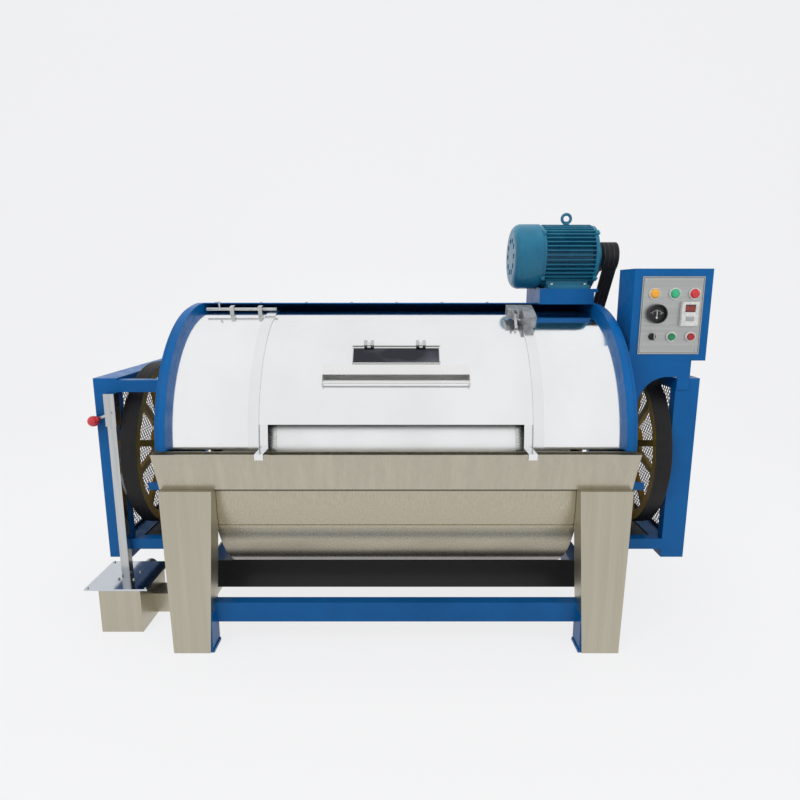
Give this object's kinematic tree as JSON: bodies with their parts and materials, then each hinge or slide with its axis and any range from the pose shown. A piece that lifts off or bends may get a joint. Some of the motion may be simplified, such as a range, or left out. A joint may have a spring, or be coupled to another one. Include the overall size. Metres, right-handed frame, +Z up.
{
  "type": "industrial washing machine",
  "caption": "Horizontal-drum washing machine with sliding front door, belt wheels at both ends, top motor, control box and drain box with lever.",
  "frame": {"origin": "centre of the anchor bolt pattern in the foot plates, on the floor", "axes": "+X to the right along the drum axis, +Y to the back, +Z up"},
  "size_m": [2.353, 1.3153, 1.618],
  "materials": {
    "blue_paint": "gloss paint",
    "brushed_stainless": "vertical brushed",
    "mirror_stainless": "mirror polished",
    "inner_stainless": "satin",
    "wheel_gold": "worn yellow paint",
    "belt_rubber": "matte",
    "motor_paint": "gloss teal paint",
    "machined_steel": "turned",
    "cast_grey": "cast",
    "bearing_steel": "ground",
    "dark_net": "dark wire",
    "grey_tray": "grey paint",
    "panel_metal": "satin plate",
    "black_plastic": "gloss",
    "white_plastic": "matte",
    "green_plastic": "gloss",
    "red_plastic": "gloss",
    "lamp_plastic": "translucent caps",
    "bright_steel": "plated"
  },
  "bodies": {
    "root": {"main_frame": "blue_paint", "foot_plates": "blue_paint", "leg_covers": "brushed_stainless", "tub": "brushed_stainless", "tub_ends": "brushed_stainless", "apron": "brushed_stainless", "hood_sides": "mirror_stainless", "door_guides": "mirror_stainless", "rear_cover": "blue_paint", "arches": "blue_paint", "end_panels": "blue_paint", "bolt_clips": "bright_steel", "interlock_body": "cast_grey", "bearing_housings": "cast_grey", "drum_bearings": "bearing_steel", "wheel_belts": "belt_rubber", "motor_belts": "belt_rubber", "counter_bearings": "cast_grey", "motor_housing": "motor_paint", "fan_cover": "motor_paint", "lifting_eye": "motor_paint", "motor_base": "blue_paint", "control_box": "blue_paint", "panel_plate": "panel_metal", "support_plate": "blue_paint", "lamps": "lamp_plastic", "meter": "black_plastic", "timer_body": "white_plastic", "panel_bezels": "white_plastic", "guard_frames": "blue_paint", "guard_nets": "dark_net", "guard_trays": "grey_tray", "drain_box": "brushed_stainless", "drain_plate": "brushed_stainless", "drain_duct": "brushed_stainless", "lever_post": "brushed_stainless", "inlet_pipes": "inner_stainless"},
    "drum": {"drum_shell": "inner_stainless", "drum_ends": "inner_stainless", "drum_ribs": "inner_stainless", "drum_shafts": "machined_steel", "belt_wheels": "wheel_gold"},
    "drum_door": {"drum_door": "inner_stainless"},
    "door": {"door": "mirror_stainless", "door_handle": "mirror_stainless", "hatch_pins": "bearing_steel"},
    "hatch": {"hatch": "mirror_stainless"},
    "slide_bolt": {"slide_bolt": "bright_steel"},
    "interlock_lever": {"interlock_lever": "bright_steel"},
    "countershaft": {"countershaft": "machined_steel", "sheaves": "cast_grey"},
    "motor_rotor": {"motor_rotor": "machined_steel", "motor_pulley": "cast_grey"},
    "meter_needle": {"meter_needle": "red_plastic"},
    "timer_key": {"timer_key": "grey_tray"},
    "selector": {"selector": "black_plastic"},
    "start_button": {"start_button": "green_plastic"},
    "stop_button": {"stop_button": "red_plastic"},
    "lever": {"lever": "red_plastic"},
    "drain_rod": {"drain_rod": "machined_steel"}
  },
  "joints": [
    {"name": "drum_spin", "type": "hinge", "parent": "root", "child": "drum", "pos_m": [0, 0, 0.655], "axis": [1, 0, 0], "continuous": true},
    {"name": "countershaft_spin", "type": "hinge", "parent": "root", "child": "countershaft", "pos_m": [0, 0.56, 0.92], "axis": [1, 0, 0], "continuous": true},
    {"name": "motor_spin", "type": "hinge", "parent": "root", "child": "motor_rotor", "pos_m": [0.886, 0.05, 1.44], "axis": [1, 0, 0], "continuous": true},
    {"name": "drum_door_slide", "type": "hinge", "parent": "drum", "child": "drum_door", "pos_m": [0, 0, 0.655], "axis": [-1, 0, 0], "range_deg": [0, 56]},
    {"name": "door_slide", "type": "hinge", "parent": "root", "child": "door", "pos_m": [0, 0, 0.733], "axis": [-1, 0, 0], "range_deg": [-9.5, 38]},
    {"name": "hatch_turn", "type": "hinge", "parent": "door", "child": "hatch", "pos_m": [0, -0.32987, 1.10741], "axis": [-1, 0, 0], "range_deg": [0, 80]},
    {"name": "bolt_slide", "type": "slide", "parent": "root", "child": "slide_bolt", "axis": [1, 0, 0], "range_m": [-0.035, 0.03]},
    {"name": "interlock_turn", "type": "hinge", "parent": "root", "child": "interlock_lever", "pos_m": [0.4565, -0.21164, 1.20831], "axis": [-1, 0, 0], "range_deg": [0, 20], "stiffness_Nm_per_rad": 0.3},
    {"name": "needle_turn", "type": "hinge", "parent": "root", "child": "meter_needle", "pos_m": [0.959, -0.305, 1.203], "axis": [0, 1, 0], "range_deg": [-50, 50], "stiffness_Nm_per_rad": 0.0005},
    {"name": "timer_key_press", "type": "slide", "parent": "root", "child": "timer_key", "axis": [0, 1, 0], "range_m": [0, 0.0015], "stiffness_N_per_m": 400},
    {"name": "selector_turn", "type": "hinge", "parent": "root", "child": "selector", "pos_m": [0.95, -0.309, 1.133], "axis": [0, 1, 0], "range_deg": [-45, 45]},
    {"name": "start_press", "type": "slide", "parent": "root", "child": "start_button", "axis": [0, 1, 0], "range_m": [0, 0.004], "stiffness_N_per_m": 500},
    {"name": "stop_press", "type": "slide", "parent": "root", "child": "stop_button", "axis": [0, 1, 0], "range_m": [0, 0.004], "stiffness_N_per_m": 500},
    {"name": "lever_turn", "type": "hinge", "parent": "root", "child": "lever", "pos_m": [-1.067, -0.312, 0.851], "axis": [0, 1, 0], "range_deg": [0, 48]},
    {"name": "drain_rod_lift", "type": "slide", "parent": "root", "child": "drain_rod", "axis": [0, 0, 1], "range_m": [0, 0.0098]}
  ],
  "couplings": [
    {"joint": "countershaft_spin", "follows": "drum_spin", "ratio": 5.9561},
    {"joint": "motor_spin", "follows": "drum_spin", "ratio": 21.256},
    {"joint": "lever_turn", "follows": "drain_rod_lift", "rad_per_m": 85.47}
  ]
}
